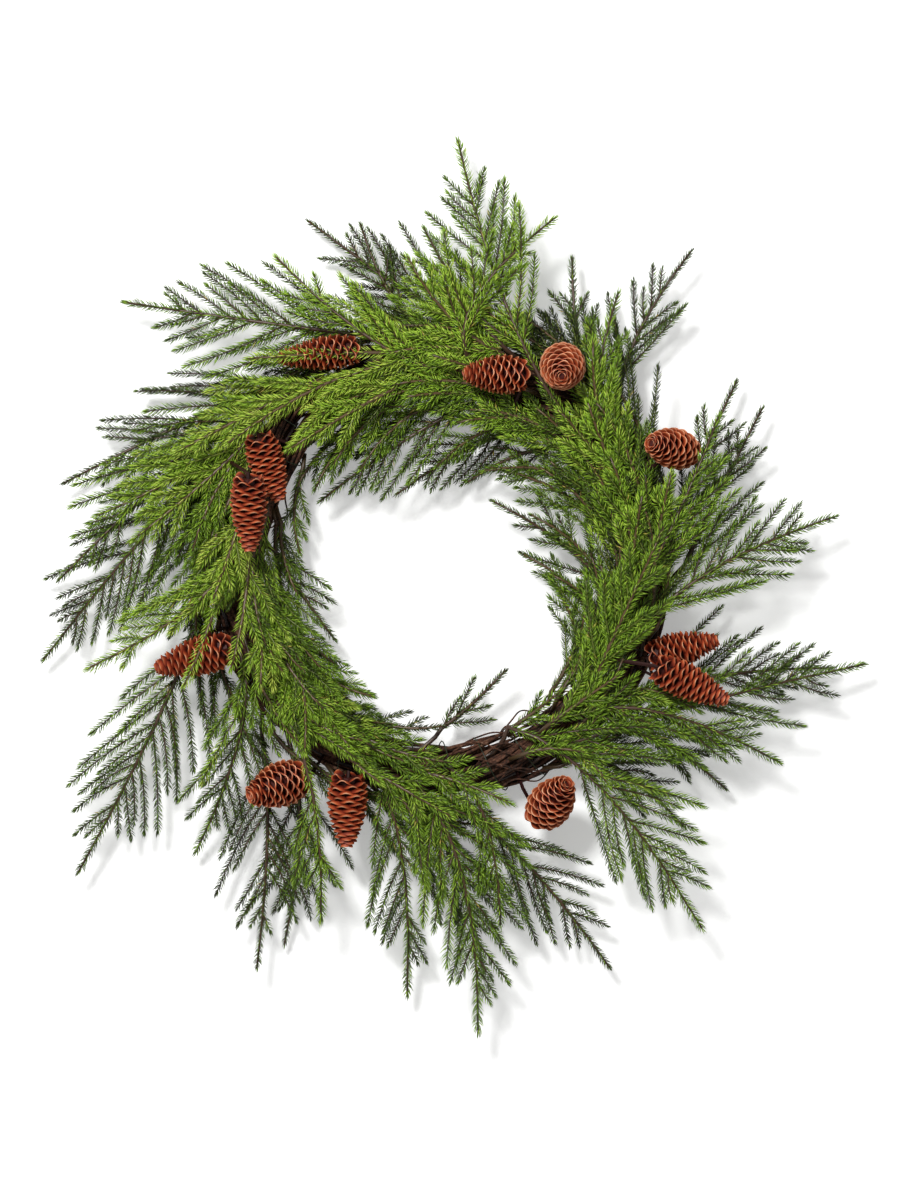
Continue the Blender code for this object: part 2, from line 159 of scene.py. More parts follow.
def make_bark():
    """Grapevine bark, peeled and dried: fibrous and matt, dark brown with redder and greyer strips."""
    material, tree, shader = start_material("dry_grapevine_bark", 0.86, 0.25)
    place = add_node(tree, "ShaderNodeTexCoord").outputs["Object"]
    patches = add_node(tree, "ShaderNodeTexNoise", [("Vector", place)], Scale=PATCH_SCALE, Detail=3.0)
    fibres = add_node(tree, "ShaderNodeTexNoise", [("Vector", place)], Scale=FIBRE_SCALE, Detail=4.0)
    blend = add_node(tree, "ShaderNodeMath", [(0, patches.outputs["Fac"]), (1, fibres.outputs["Fac"])],
                     operation="ADD")
    half = add_node(tree, "ShaderNodeMath", [(0, blend.outputs[0])], operation="MULTIPLY")
    half.inputs[1].default_value = 0.5
    ramp = add_node(tree, "ShaderNodeValToRGB", [("Fac", half.outputs[0])],
                    stops=[(0.30, "#140D0A"), (0.44, "#33231B"), (0.52, "#533426"), (0.60, "#6E4E3C"),
                           (0.72, "#948068")])
    tree.links.new(ramp.outputs["Color"], shader.inputs["Base Color"])
    bump = add_node(tree, "ShaderNodeBump", [("Height", fibres.outputs["Fac"])], Strength=0.5,
                    Distance=0.0006)
    tree.links.new(bump.outputs["Normal"], shader.inputs["Normal"])
    return material


def cane_run(hank, cane, chance):
    """One cane's points and radii: it wanders round its hank's middle and stays inside the hank."""
    layer = 0 if cane == 0 else (1 if cane <= CANE_SEATS[1] else 2)
    reach = CANE_LAYERS[layer][0] * MM
    seat = 360.0 * cane / CANE_SEATS[layer] + chance.uniform(-14, 14)
    turns = chance.choice(CANE_TURNS) * 360.0
    thick = CANE_LAYERS[layer][1] * MM * chance.uniform(0.75, 1.2)
    start = 360.0 / HANKS * hank + SEAM_CLOCK + chance.uniform(-9, 9)
    span = chance.uniform(349, 357)
    swell = chance.uniform(0, 6.28)
    points, radii = [], []
    for step in range(CANE_STEPS + 1):
        share = step / CANE_STEPS
        clock = start + span * share
        side = groove_side(hank, clock) + 180.0 / HANKS
        middle = round_ring(clock, HANK_OFFSET, side)
        around = math.radians(seat + turns * share)
        turn = math.radians(clock)
        out = Vector((math.cos(turn), math.sin(turn), 0.0))
        wander = reach * (1.0 + CANE_WANDER * math.sin(share * 40 + swell))
        offset = (out * math.cos(around) + Vector((0, 0, 1)) * math.sin(around)) * wander
        point = middle + offset
        radius = thick * (1.0 + CANE_SWELL * math.sin(share * 61 + swell * 2))
        radius *= min(1.0, 0.35 + 12 * min(share, 1 - share))
        point.z = max(point.z, radius + 0.2 * MM)
        points.append(point)
        radii.append(radius)
    return points, radii


bark = make_bark()
for hank in range(HANKS):
    chance = random.Random(40 + hank)
    runs = [cane_run(hank, cane, chance) for cane in range(CANES)]
    show(f"vine_canes_{hank + 1}", tube("canes", runs, 6), bark, "vine", f"vine_hank_{hank + 1}")

# Thin tendrils spring off the ring here and there and curl back on to it.
TENDRIL_STEPS = 24
TENDRIL_ROOT = 23.5 * MM
# clock, side, length in degrees, how far it stands off (mm)
TENDRILS = [(152, 175, 16, 12), (158, 165, 12, 8), (290, 165, 18, 10), (296, 175, 12, 6), (283, 200, 14, 5),
            (302, 150, 20, 8), (240, 185, 14, 6), (60, 190, 16, 6), (285, 20, 15, 6), (278, 60, 22, 3),
            (272, 120, 24, 3), (280, 95, 26, 4), (276, 150, 24, 3), (284, 40, 20, 4), (270, 80, 28, 3)]
runs = []
for clock, side, length, lift in TENDRILS:
    points = []
    for step in range(TENDRIL_STEPS + 1):
        share = step / TENDRIL_STEPS
        off = TENDRIL_ROOT + lift * MM * math.sin(math.pi * share) ** 1.5
        points.append(round_ring(clock + length * share, off, side + 30 * math.sin(share * 5)))
    thickness = np.interp(np.linspace(0, 1, TENDRIL_STEPS + 1), [0, 0.2, 0.8, 1], [0.5, 0.8, 0.6, 0.3])
    runs.append((points, thickness * MM))
show("vine_tendrils", tube("tendrils", runs, 6), bark, "vine")


# ---- Binding wire ----------------------------------------------------------------------------------
# Florist's paddle wire: drawn soft steel with green enamel, wound over the vine and pulled tight. It
# holds the hanks, the stems and the cones' stalks.
WIRE_TURNS = 34
WRAP_POINTS = 20                        # in one turn
WRAP_REACH = 25.6 * MM
WRAP_RADIUS = 0.55 * MM
WRAP_START = 180.0 / 8
WRAP_SPAN = 0.994                       # of the way round


def make_enamel():
    """Dull dark green enamel, a little worn."""
    material, tree, shader = start_material("green_enamelled_wire", 0.42, 0.5)
    place = add_node(tree, "ShaderNodeTexCoord").outputs["Object"]
    wear = add_node(tree, "ShaderNodeTexNoise", [("Vector", place)], Scale=180.0, Detail=2.0)
    ramp = add_node(tree, "ShaderNodeValToRGB", [("Fac", wear.outputs["Fac"])],
                    stops=[(0.35, "#1A2015"), (0.6, "#2E3722")])
    tree.links.new(ramp.outputs["Color"], shader.inputs["Base Color"])
    return material


wrap = []
for step in range(int(WIRE_TURNS * WRAP_POINTS * WRAP_SPAN)):
    clock = step * 360.0 / (WIRE_TURNS * WRAP_POINTS)
    wrap.append(round_ring(clock, WRAP_REACH, WRAP_START - WIRE_TURNS * clock))
show("wound_wire", tube("wire", [(wrap, [WRAP_RADIUS] * len(wrap))], 6), make_enamel(), "wire",
     "binding_wire")


# ---- Where everything is tied ----------------------------------------------------------------------
# Stems and stalks lie in the grooves between hanks and leave between two wires. The same routes as in
# the construction are worked out again here, so that each spray's needles grow on its own wood.
WIRE_STEPS = 8                          # straight pieces in one turn of the built wire
WIRE_START = 180.0 / WIRE_STEPS
WIRE_REACH = WIRE_INNER / math.cos(math.pi / WIRE_STEPS)
WIRE_PITCH = 360.0 / (WIRE_TURNS + TWIST)
BOUND_REACH = WIRE_REACH + WIRE_RADIUS
STEM_RADIUS = 2.0 * MM
STEM_END_RADIUS = 0.9 * MM
TWIG_RADIUS = 1.2 * MM
GROOVE_HALF = HANK_OFFSET * math.sin(math.pi / HANKS)
SEAT_GAP = 0.3 * MM
GROOVE_DEEP = math.sqrt((HANK_RADIUS + STEM_RADIUS + SEAT_GAP) ** 2 - GROOVE_HALF ** 2)
GROOVE_SEAT = GROOVE_HALF + GROOVE_DEEP
FREE_REACH = 37 * MM                    # from the ring's centreline, where a stem runs free
FREE_SLOPE = 0.42
LOWEST_GROOVE, HIGHEST_GROOVE = -24.0, 204.0
# a stem's way out of its groove: half wire pitches ahead of its spot, and distance from the centreline
WAY_OUT = [(-1.4, GROOVE_SEAT), (-0.9, GROOVE_SEAT), (-0.4, GROOVE_SEAT + GAP),
           (0.1, GROOVE_SEAT + 6 * MM), (0.55, FREE_REACH - 8 * MM), (1.0, FREE_REACH)]
EARLY_COST, LATE_COST, SIDE_COST = 1.0, 3.0, 0.4
SPOT_TRIES = 9
DETOUR_COST = 3.0
# how far a stem is lifted and swung aside to pass others (mm)
DETOURS = [(0, 0), (6, 0), (-6, 0), (6, 14), (6, -14), (12, 0), (-12, 0), (12, 14), (12, -14),
           (0, 26), (0, -26), (20, 0), (20, 20), (20, -20), (30, 0), (30, 26), (30, -26)]
KNEE_SHARE = 0.36
KNEE_LIFT = 0.6
NEEDLE_ROOM = 9 * MM
LOWEST_TIP = 12
STEM_SPARE, ROOT_SPARE, TWIG_SPARE, STALK_SPARE = 1.2 * MM, 0.6 * MM, 1.0 * MM, 0.5 * MM
PAIR_PITCH = 27 * MM
FIRST_PAIR = 34 * MM
STAGGER = 8 * MM
TWIG_SHARE = 0.55
TWIG_LONGEST = 92 * MM
TWIG_SHORTEST = 14 * MM
TWIG_ANGLE = 31.0
TWIG_FORK = 9 * MM
TWIG_CUTS = (1.0, 0.82, 0.66, 0.5)
TWIG_LIFTS = (0, 12, -12, 24, -24, 36)
STEM_PIECES = 6
# clock where it is tied, side it leaves from, tip's clock, tip's reach, tip's height (degrees and mm)
SPRAYS = [
    # the outer sprays' lower layer
    (106, 15, 139.9, 360, 34), (122, 0, 167.3, 338, 24), (160, 0, 193.0, 357, 20),
    (196, 10, 220.1, 414, 28), (204, 0, 229.3, 329, 18), (220, 15, 245.4, 384, 34),
    (229, 0, 247.5, 358, 18), (240, 0, 265.6, 375, 24), (257, 0, 276.2, 355, 20),
    (271, 0, 293.0, 380, 26), (297, 0, 313.3, 312, 22), (306, 0, 322.3, 317, 20),
    (309, 20, 347.2, 380, 36), (335, 0, 345.7, 355, 18), (354, 0, 26.4, 315, 28),
    (14, 0, 32.2, 307, 22), (25, 15, 51.6, 353, 34), (46, 0, 66.9, 295, 24),
    (50, 15, 87.6, 373, 36), (66, 0, 92.7, 298, 24), (88, 0, 103.0, 308, 30),
    (92, 10, 110.8, 326, 18),
    # inner sprays
    (75, 180, 151.0, 120, 30), (66, 180, 121.0, 74, 46), (40, 180, 72.0, 79, 34),
    (350, 180, 52.2, 74, 40), (172, 180, 214.4, 111, 36), (270, 180, 302.6, 106, 40),
    # the outer sprays' upper layer
    (150, 40, 181.8, 331, 48), (178, 50, 196.0, 317, 62), (233, 50, 251.4, 323, 48),
    (246, 40, 274.7, 406, 42), (262, 60, 279.6, 314, 58), (280, 40, 306.0, 387, 42),
    (310, 50, 330.2, 340, 52), (341, 40, 7.4, 347, 40), (8, 50, 28.4, 274, 56),
    (33, 50, 57.0, 284, 52), (56, 50, 71.9, 318, 60), (78, 50, 117.8, 304, 56),
    # front sprays
    (100, 100, 142.6, 165, 88), (205, 100, 234.0, 197, 88), (335, 90, 10.9, 196, 90),
]
# base and tip as clock, reach and height, then the diameter
CONES = [
    ((111.0, 202, 64), (128.6, 230, 70), 29), ((66.5, 181, 72), (83.3, 168, 79), 33),
    ((59.2, 208, 62), (57.4, 192, 115), 37), ((25.2, 237, 46), (30.7, 209, 90), 34),
    ((337.2, 199, 52), (345.7, 251, 58), 31), ((335.3, 206, 84), (335.1, 276, 77), 31),
    ((292.2, 233, 41), (300.7, 215, 80), 37), ((246.3, 197, 68), (251.6, 256, 62), 34),
    ((236.2, 219, 53), (230.2, 256, 79), 38), ((200.8, 195, 66), (199.5, 263, 64), 34),
    ((155.0, 180, 104), (176.1, 163, 92), 31), ((144.3, 192, 74), (157.9, 149, 64), 31),
]
STALK_RADIUS = 1.8 * MM
STALK_PULL = 4 * MM
STALK_BUTT = 0.62
CONE_CLEARANCE = 1.0 * MM
CONE_ROUNDING = 0.3


def polar(clock, reach, height):
    """A point at a clock angle, a reach from the ring's middle and a height, both in mm."""
    turn = math.radians(clock)
    flat = Vector((math.cos(turn), math.sin(turn), 0.0))
    return RING_CENTRE + flat * reach * MM + Vector((0.0, 0.0, height * MM))


def free_spots():
    """Every place where a groove is open between two wires, as (clock, groove, side)."""
    spots = []
    for groove in range(HANKS):
        for count in range(WIRE_TURNS + TWIST):
            shift = (WIRE_START - 360.0 / HANKS * groove) / (WIRE_TURNS + TWIST)
            clock = (WIRE_PITCH * (count + 0.5) + shift) % 360.0
            side = groove_side(groove, clock)
            if side < -90.0:
                side += 360.0
            if LOWEST_GROOVE < side < HIGHEST_GROOVE:
                spots.append((clock, groove, side))
    return spots


def nearest_spots(spots, clock, side):
    """The best places for something that leaves at that clock angle and side, with their costs."""
    def cost(spot):
        late = (spot[0] - clock + 180.0) % 360.0 - 180.0
        return max(late * LATE_COST, -late * EARLY_COST) + abs(spot[2] - side) * SIDE_COST
    return sorted(((cost(spot), spot) for spot in spots), key=lambda pair: pair[0])[:SPOT_TRIES]


def far_enough(points, radius, placed, spare, leaving=False):
    """Whether a polyline keeps its distance to the rods placed so far, and to ring and ground."""
    dense = []
    for a, b in zip(points, points[1:]):
        pieces = max(1, math.ceil((b - a).length / (2 * MM)))
        dense += [a.lerp(b, i / pieces) for i in range(pieces)]
    dense = np.array([tuple(p) for p in [*dense, points[-1]]])
    if dense[:, 2].min() < NEEDLE_ROOM:
        return False
    across = np.hypot(dense[:, 0] - RING_CENTRE.x, dense[:, 1] - RING_CENTRE.y) - RING_RADIUS
    from_ring = np.hypot(across, dense[:, 2] - RING_HEIGHT).min()
    if from_ring < BOUND_REACH + radius + spare and not leaving:
        return False
    if not placed:
        return True
    rods = np.array(placed)
    start, run, thick = rods[:, 0:3], rods[:, 3:6] - rods[:, 0:3], rods[:, 6]
    offset = dense[:, None, :] - start[None]
    share = (offset * run).sum(2) / np.maximum((run * run).sum(1), 1e-12)
    nearest = offset - np.clip(share, 0.0, 1.0)[:, :, None] * run
    room = np.linalg.norm(nearest, axis=2) - thick
    return bool(room.min() > radius + spare)


def add_rods(placed, points, radius):
    """Notes a polyline's pieces as rods that others keep clear of."""
    for a, b in zip(points, points[1:]):
        placed.append((*a, *b, radius))


def bend(start, knee, end, pieces):
    """Points along a quadratic curve, the start left out."""
    found = []
    for step in range(1, pieces + 1):
        t = step / pieces
        found.append(start * (1 - t) ** 2 + knee * 2 * t * (1 - t) + end * t * t)
    return found


def stem_root(spot):
    """A stem's points in its groove and out between the wires."""
    clock, groove, _ = spot
    points = []
    for ahead, distance in WAY_OUT:
        at = clock + ahead * WIRE_PITCH / 2
        points.append(round_ring(at, distance, groove_side(groove, at)))
    return points


def stem_run(row, spot, leave, lift, swing):
    """A stem's points from where it leaves the ring to its tip."""
    turn = math.radians(spot[0] + WIRE_PITCH / 2)
    outward = Vector((math.cos(turn), math.sin(turn), 0.0))
    along = Vector((-math.sin(turn), math.cos(turn), 0.0))
    middle = RING_CENTRE + outward * RING_RADIUS + Vector((0.0, 0.0, RING_HEIGHT))
    heading = (along + (leave - middle).normalized() * FREE_SLOPE).normalized()
    tip = polar(row[2], row[3], max(row[4] + lift, LOWEST_TIP))
    away = tip - leave
    aside = away.cross(Vector((0.0, 0.0, 1.0))).normalized()
    knee = leave + (heading + away.normalized()).normalized() * away.length * KNEE_SHARE
    knee += aside * swing * MM
    knee.z = max(knee.z + lift * KNEE_LIFT * MM, LOWEST_TIP * MM)
    return bend(leave, knee, tip, STEM_PIECES)


def route_stem(row, spots, placed):
    """The cheapest way for a stem that clears all that is placed, as its root and its free points."""
    tries = []
    for cost, spot in nearest_spots(spots, row[0], row[1]):
        for rank, detour in enumerate(DETOURS):
            tries.append((cost + rank * DETOUR_COST, len(tries), spot, detour))
    for _, _, spot, (lift, swing) in sorted(tries):
        root = stem_root(spot)
        free = stem_run(row, spot, root[-1], lift, swing)
        leaves = far_enough(root[2:], STEM_RADIUS, placed, ROOT_SPARE, leaving=True)
        if leaves and far_enough([root[-1], *free], STEM_RADIUS, placed, STEM_SPARE):
            spots.remove(spot)
            return root, free
    raise ValueError(f"no room for the spray that leaves at {row[0]}")


def point_at(points, distance_from_end):
    """The point and direction at a distance back from a polyline's end, or None past its start."""
    left = distance_from_end
    for b, a in zip(points[::-1], points[-2::-1]):
        length = (b - a).length
        if left <= length:
            return b.lerp(a, left / length), (b - a).normalized()
        left -= length
    return None


def grow_twigs(free, seed, placed, first=FIRST_PAIR, slender=1.0):
    """Side twigs in staggered pairs from a stem's tip backwards, longer the further back."""
    chance = random.Random(seed)
    roll = math.radians(chance.uniform(-14, 14))
    found = []
    back = first
    while True:
        for hand in (1.0, -1.0):
            distance = back + (STAGGER if hand < 0 else 0.0)
            length = min(TWIG_LONGEST, TWIG_SHARE * distance) * chance.uniform(0.86, 1.1) * slender
            angle = math.radians(TWIG_ANGLE + chance.uniform(-5, 5))
            at = point_at(free, distance)
            if at is None:
                return found
            start, ahead = at
            across = Vector((0.0, 0.0, 1.0)).cross(ahead).normalized() * hand
            up = ahead.cross(across) * hand
            twig = settle_twig(start, ahead, across, up, length, angle, roll * hand, placed)
            if twig:
                found.append(twig)
                add_rods(placed, twig, TWIG_RADIUS)
        back += PAIR_PITCH


def settle_twig(start, ahead, across, up, length, angle, roll, placed):
    """A twig's two ends, shortened or lifted until it clears all that is placed, or None."""
    for cut in TWIG_CUTS:
        reach = length * cut
        for lift in TWIG_LIFTS:
            lean = roll + math.radians(lift)
            aside = across * math.cos(lean) + up * math.sin(lean)
            end = start + (ahead * math.cos(angle) + aside * math.sin(angle)) * reach
            if reach < TWIG_SHORTEST:
                continue
            past_fork = start.lerp(end, min(0.3, TWIG_FORK / reach))
            if far_enough([past_fork, end], TWIG_RADIUS, placed, TWIG_SPARE):
                return (start, end)
    return None


def route_stalk(cone, spots, placed):
    """A cone's stalk: from a groove, out past the wire and into the cone's base."""
    base, tip = polar(*cone[0]), polar(*cone[1])
    ahead = (tip - base).normalized()
    across = base - RING_CENTRE
    lean = math.degrees(math.atan2(base.z - RING_HEIGHT, across.xy.length - RING_RADIUS))
    for _, spot in nearest_spots(spots, cone[0][0], lean):
        clock, groove, side = spot
        behind = clock - WIRE_PITCH * STALK_BUTT
        points = [round_ring(behind, GROOVE_SEAT, groove_side(groove, behind)),
                  round_ring(clock, GROOVE_SEAT, side), round_ring(clock, FREE_REACH, side),
                  base - ahead * STALK_PULL, base + ahead * STALK_PULL]
        if far_enough(points[1:4], STALK_RADIUS, placed, STALK_SPARE, leaving=True):
            spots.remove(spot)
            return points
    raise ValueError(f"no room for the cone at {cone[0][0]}")


def cone_rod(cone):
    """A cone's body as a rod."""
    base, tip, diameter = polar(*cone[0]), polar(*cone[1]), cone[2] * MM
    inset = (tip - base).normalized() * diameter * CONE_ROUNDING
    return (*(base + inset), *(tip - inset), diameter / 2 + CONE_CLEARANCE)


spots = free_spots()
bodies = [cone_rod(cone) for cone in CONES]
placed = list(bodies)
stalks = []
for cone, body in zip(CONES, bodies):
    others = [rod for rod in placed if rod is not body]
    stalks.append(route_stalk(cone, spots, others))
    add_rods(placed, stalks[-1][1:4], STALK_RADIUS)
stems = []
for row in SPRAYS:
    root, free = route_stem(row, spots, placed)
    add_rods(placed, root[3:] + free, STEM_RADIUS)
    stems.append((root, free))
sprays = []
for number, (root, free) in enumerate(stems):
    sprays.append((root, free, grow_twigs([root[-1], *free], number, placed)))

# ---- Spruce cones ----------------------------------------------------------------------------------
# Dry spruce cones: thin woody scales in a spiral round a core, rust-brown with paler rounded edges, and
# nearly black between them from painted shade. Each is wired by its base to a stalk.
SCALES = 104                            # on one cone
GOLDEN = math.radians(137.508)
UV_COLUMNS = 32                         # columns of the map, each one tint
SCALE_COLUMNS = 25                      # of them for scales
CORE_COLUMN, STALK_COLUMN = 0.3, 0.9
CORE_SHARES = np.linspace(0.01, 0.95, 9)
CORE_THICKNESS = 0.60                   # of the cone's radius, as the next three are
SCALE_ROOT = 0.42
SCALE_WIDTH = 0.92
SCALE_LONGEST = 0.86
OPEN_LEAN, LEAN_DROP = 76.0, 24.0       # degrees from the axis at the base, and less further on
BASE_SHARE, BASE_LEAN = 0.12, 38.0      # the lowest scales fold back over the base
TIP_SHARE, TIP_CLOSING = 0.72, 0.78     # the last ones close over the tip


def make_woody_scale():
    """Dry, half-matt cone wood: its colour runs from a scale's root, darkened nearly to black as painted
    shade between the scales, to its pale, worn edge.
    """
    material, tree, shader = start_material("dry_cone_scales", 0.55, 0.35)
    uv = add_node(tree, "ShaderNodeUVMap", uv_map="OFBake")
    split = add_node(tree, "ShaderNodeSeparateXYZ", [("Vector", uv.outputs["UV"])])
    # painted shade: each scale, and the core that reads the same ramp, runs nearly black towards the root,
    # between the other scales
    along = add_node(tree, "ShaderNodeValToRGB", [("Fac", split.outputs["Y"])],
                     stops=[(0.0, "#1E0A06"), (0.45, "#58190E"), (0.74, "#A03E20"), (0.92, "#CC6A3E"),
                            (1.0, "#F4B48C")])
    tint = add_node(tree, "ShaderNodeValToRGB", [("Fac", split.outputs["X"])],
                    stops=[(0.0, "#BEAEA8"), (0.4, "#E4DCD8"), (0.8, "#FFFFFF"), (0.86, "#5A4A44"),
                           (1.0, "#443833")])
    mix = add_node(tree, "ShaderNodeMix", data_type="RGBA", blend_type="MULTIPLY")
    mix.inputs["Factor"].default_value = 1.0
    tree.links.new(along.outputs["Color"], mix.inputs[6])
    tree.links.new(tint.outputs["Color"], mix.inputs[7])
    tree.links.new(mix.outputs[2], shader.inputs["Base Color"])
    return material


def model_scale():
    """One woody scale, a unit long and wide: points, faces, and each point's share along it."""
    bpy.ops.mesh.primitive_grid_add(x_subdivisions=4, y_subdivisions=4, size=1.0)
    scale = bpy.context.object
    for vertex in scale.data.vertices:
        s, t = vertex.co.x * 2, vertex.co.y + 0.5
        width = (0.34 + 0.66 * math.sin(min(t * 1.25, 1.0) * math.pi / 2))
        width *= math.sqrt(max(0.12, 1 - max(0.0, (t - 0.62) / 0.46) ** 2))
        vertex.co.x = s * 0.5 * width
        vertex.co.y = t - 0.10 * s * s * t
        vertex.co.z = 0.10 - 0.26 * s * s * width + 0.06 * t * t
    solid = scale.modifiers.new("wall", "SOLIDIFY")
    solid.thickness = 0.055
    solid.offset = 0.0
    bpy.ops.object.modifier_apply(modifier="wall")
    mesh = scale.data
    points = np.array([tuple(v.co) for v in mesh.vertices])
    faces = [tuple(face.vertices) for face in mesh.polygons]
    bpy.data.objects.remove(scale, do_unlink=True)
    return points, faces


def gather(points, faces, uvs):
    """A mesh of everything listed, with the map that its material reads."""
    mesh = bpy.data.meshes.new("piece")
    mesh.from_pydata(points, [], faces)
    layer = mesh.uv_layers.new(name="OFBake")
    corner = np.empty(len(mesh.loops), dtype=np.int32)
    mesh.loops.foreach_get("vertex_index", corner)
    layer.data.foreach_set("uv", np.asarray(uvs, dtype=np.float32)[corner].ravel())
    return mesh


def scale_lean(share, jitter):
    """How far a scale leans out from the cone's axis."""
    lean = OPEN_LEAN - LEAN_DROP * min(1.0, share * 1.4) + jitter
    if share < BASE_SHARE:
        lean += BASE_LEAN * (1 - share / BASE_SHARE)
    if share > TIP_SHARE:
        lean *= 1 - TIP_CLOSING * (share - TIP_SHARE) / (1 - TIP_SHARE)
    return math.radians(lean)


def cone_outline(share):
    """A cone's radius at a share of its length from the base, as a share of its widest."""
    return max(0.06, math.sin(math.pi * min(1.0, 0.16 + 0.84 * share) ** 0.80) ** 0.62)


def join(parts):
    """Several sets of points, faces and map places as one."""
    offsets = np.cumsum([0] + [len(points) for points, _, _ in parts])
    faces = [tuple(i + int(offset) for i in face) for offset, (_, some, _) in zip(offsets, parts)
             for face in some]
    return np.concatenate([part[0] for part in parts]), faces, np.concatenate([part[2] for part in parts])


def wood_part(mesh, column, low=0.0, high=0.45):
    """A plain mesh as points, faces and map places."""
    points = np.array([tuple(v.co) for v in mesh.vertices])
    faces = [tuple(face.vertices) for face in mesh.polygons]
    rise = np.linspace(low, high, len(points))
    return points, faces, np.column_stack([np.full(len(points), column), rise])


woody = make_woody_scale()
scale_points, scale_faces = model_scale()
for number, (cone, stalk) in enumerate(zip(CONES, stalks)):
    chance = random.Random(700 + number)
    base, tip, radius = polar(*cone[0]), polar(*cone[1]), cone[2] * MM / 2
    axis = (tip - base).normalized()
    length = (tip - base).length
    side = axis.orthogonal().normalized()
    other = axis.cross(side)
    core = [base + axis * length * t for t in CORE_SHARES]
    core_radii = [radius * CORE_THICKNESS * cone_outline(t) for t in CORE_SHARES]
    parts = [wood_part(tube("core", [(core, core_radii)], 8), CORE_COLUMN, 0.30, 0.45),
             wood_part(tube("stalk", [(stalk, [STALK_RADIUS] * len(stalk))], 6), STALK_COLUMN, 0.4, 0.7)]
    for index in range(SCALES):
        share = (index + 0.5) / SCALES
        height = length * (0.01 + 0.905 * share ** 1.12)
        turn = index * GOLDEN + chance.uniform(-0.05, 0.05)
        out = side * math.cos(turn) + other * math.sin(turn)
        round_way = axis.cross(out)
        lean = scale_lean(share, chance.uniform(-3, 3))
        outline = radius * cone_outline(share)
        root = base + axis * height + out * outline * SCALE_ROOT
        reach = max(0.26 * radius, outline * 0.60 / max(0.30, math.sin(lean)))
        reach = min(reach, SCALE_LONGEST * radius, (length * 1.01 - height) / max(0.2, math.cos(lean)))
        wide = radius * SCALE_WIDTH * (0.45 + 0.55 * outline / radius) * chance.uniform(0.94, 1.06)
        ahead = axis * math.cos(lean) + out * math.sin(lean)
        face_way = out * math.cos(lean) - axis * math.sin(lean)
        placed_points = (np.array(root) + scale_points[:, :1] * wide * np.array(round_way)
                         + scale_points[:, 1:2] * reach * np.array(ahead)
                         + scale_points[:, 2:] * wide * np.array(face_way))
        column = (int(chance.random() * SCALE_COLUMNS) + 0.5) / UV_COLUMNS
        places = np.column_stack([np.full(len(scale_points), column), scale_points[:, 1].clip(0, 1)])
        parts.append((placed_points, scale_faces, places))
    mesh = gather(*join(parts))
    show(f"cone_scales_{number + 1:02d}", mesh, woody, "cone", f"cone_{number + 1:02d}")
    mesh.set_sharp_from_angle(angle=math.radians(40))

# ---- Needle sprays ---------------------------------------------------------------------------------
# Cut evergreen sprays: thin brown twigs in pairs, set all round with short curved needles that point to
# the tip. The front ones are painted a lighter yellow-green and the outer and lower ones a darker olive, as
# painted light and shade.
NEEDLE_LENGTH = (6.6 * MM, 9.6 * MM)    # on the darkest and on the brightest painted tints
NEEDLE_RADIUS = 0.50 * MM
NEEDLE_STEP = 0.58 * MM                 # along a twig, from one needle to the next
NEEDLE_CURVE = 0.22                     # how far a needle's tip bends forward, over its length
NEEDLE_LEAN, TIP_LEAN = 54.0, 18.0      # degrees from the twig, along it and at its very tip
LEAN_SPREAD = 5.0
TINT_SPREAD, BRIGHTEST = 0.09, 0.74
DEAD_SHARE, DEAD_TINT = 0.015, 0.80     # a few old needles have dried out
DARK_TINT, BRIGHT_TINT = 0.26, 0.50      # of the shortest and of the longest needles, on the darkest and on the brightest painted tints
OLD_WOOD, YOUNG_WOOD = 0.90, 0.985      # columns of the map; needles use those up to 0.80
BETWEEN_LENGTH = 0.74                   # of the shoots between the main twigs, over a twig's length
SHOOT_RADII = (0.85 * MM, 0.40 * MM)    # under the needles, at a twig's fork and its tip
NEEDLE_FLATNESS = 0.72                  # needles stand out less above and below than to the sides


def make_needle_wax():
    """Fresh conifer needles: waxy green, half-glossy, with painted shade darkening each needle's root and a
    painted highlight paling it to the tip. Wood has its own columns.
    """
    material, tree, shader = start_material("waxy_conifer_needles", 0.40, 0.5)
    uv = add_node(tree, "ShaderNodeUVMap", uv_map="OFBake")
    split = add_node(tree, "ShaderNodeSeparateXYZ", [("Vector", uv.outputs["UV"])])
    tint = add_node(tree, "ShaderNodeValToRGB", [("Fac", split.outputs["X"])],
                    stops=[(0.0, "#1E2610"), (0.18, "#384616"), (0.36, "#668724"), (0.54, "#A0CC36"),
                           (0.72, "#D4EE64"), (0.80, "#D0B860"), (0.86, "#3B2A24"), (0.94, "#5C4232"),
                           (0.97, "#66722E"), (1.0, "#6E7C34")])
    # painted shade at each needle's root and a painted highlight towards its tip
    along = add_node(tree, "ShaderNodeValToRGB", [("Fac", split.outputs["Y"])],
                     stops=[(0.0, "#56583E"), (0.25, "#B0B296"), (0.65, "#FFFFFF"), (1.0, "#FFF6C4")])
    mix = add_node(tree, "ShaderNodeMix", data_type="RGBA", blend_type="MULTIPLY")
    mix.inputs["Factor"].default_value = 1.0
    tree.links.new(tint.outputs["Color"], mix.inputs[6])
    tree.links.new(along.outputs["Color"], mix.inputs[7])
    tree.links.new(mix.outputs[2], shader.inputs["Base Color"])
    return material


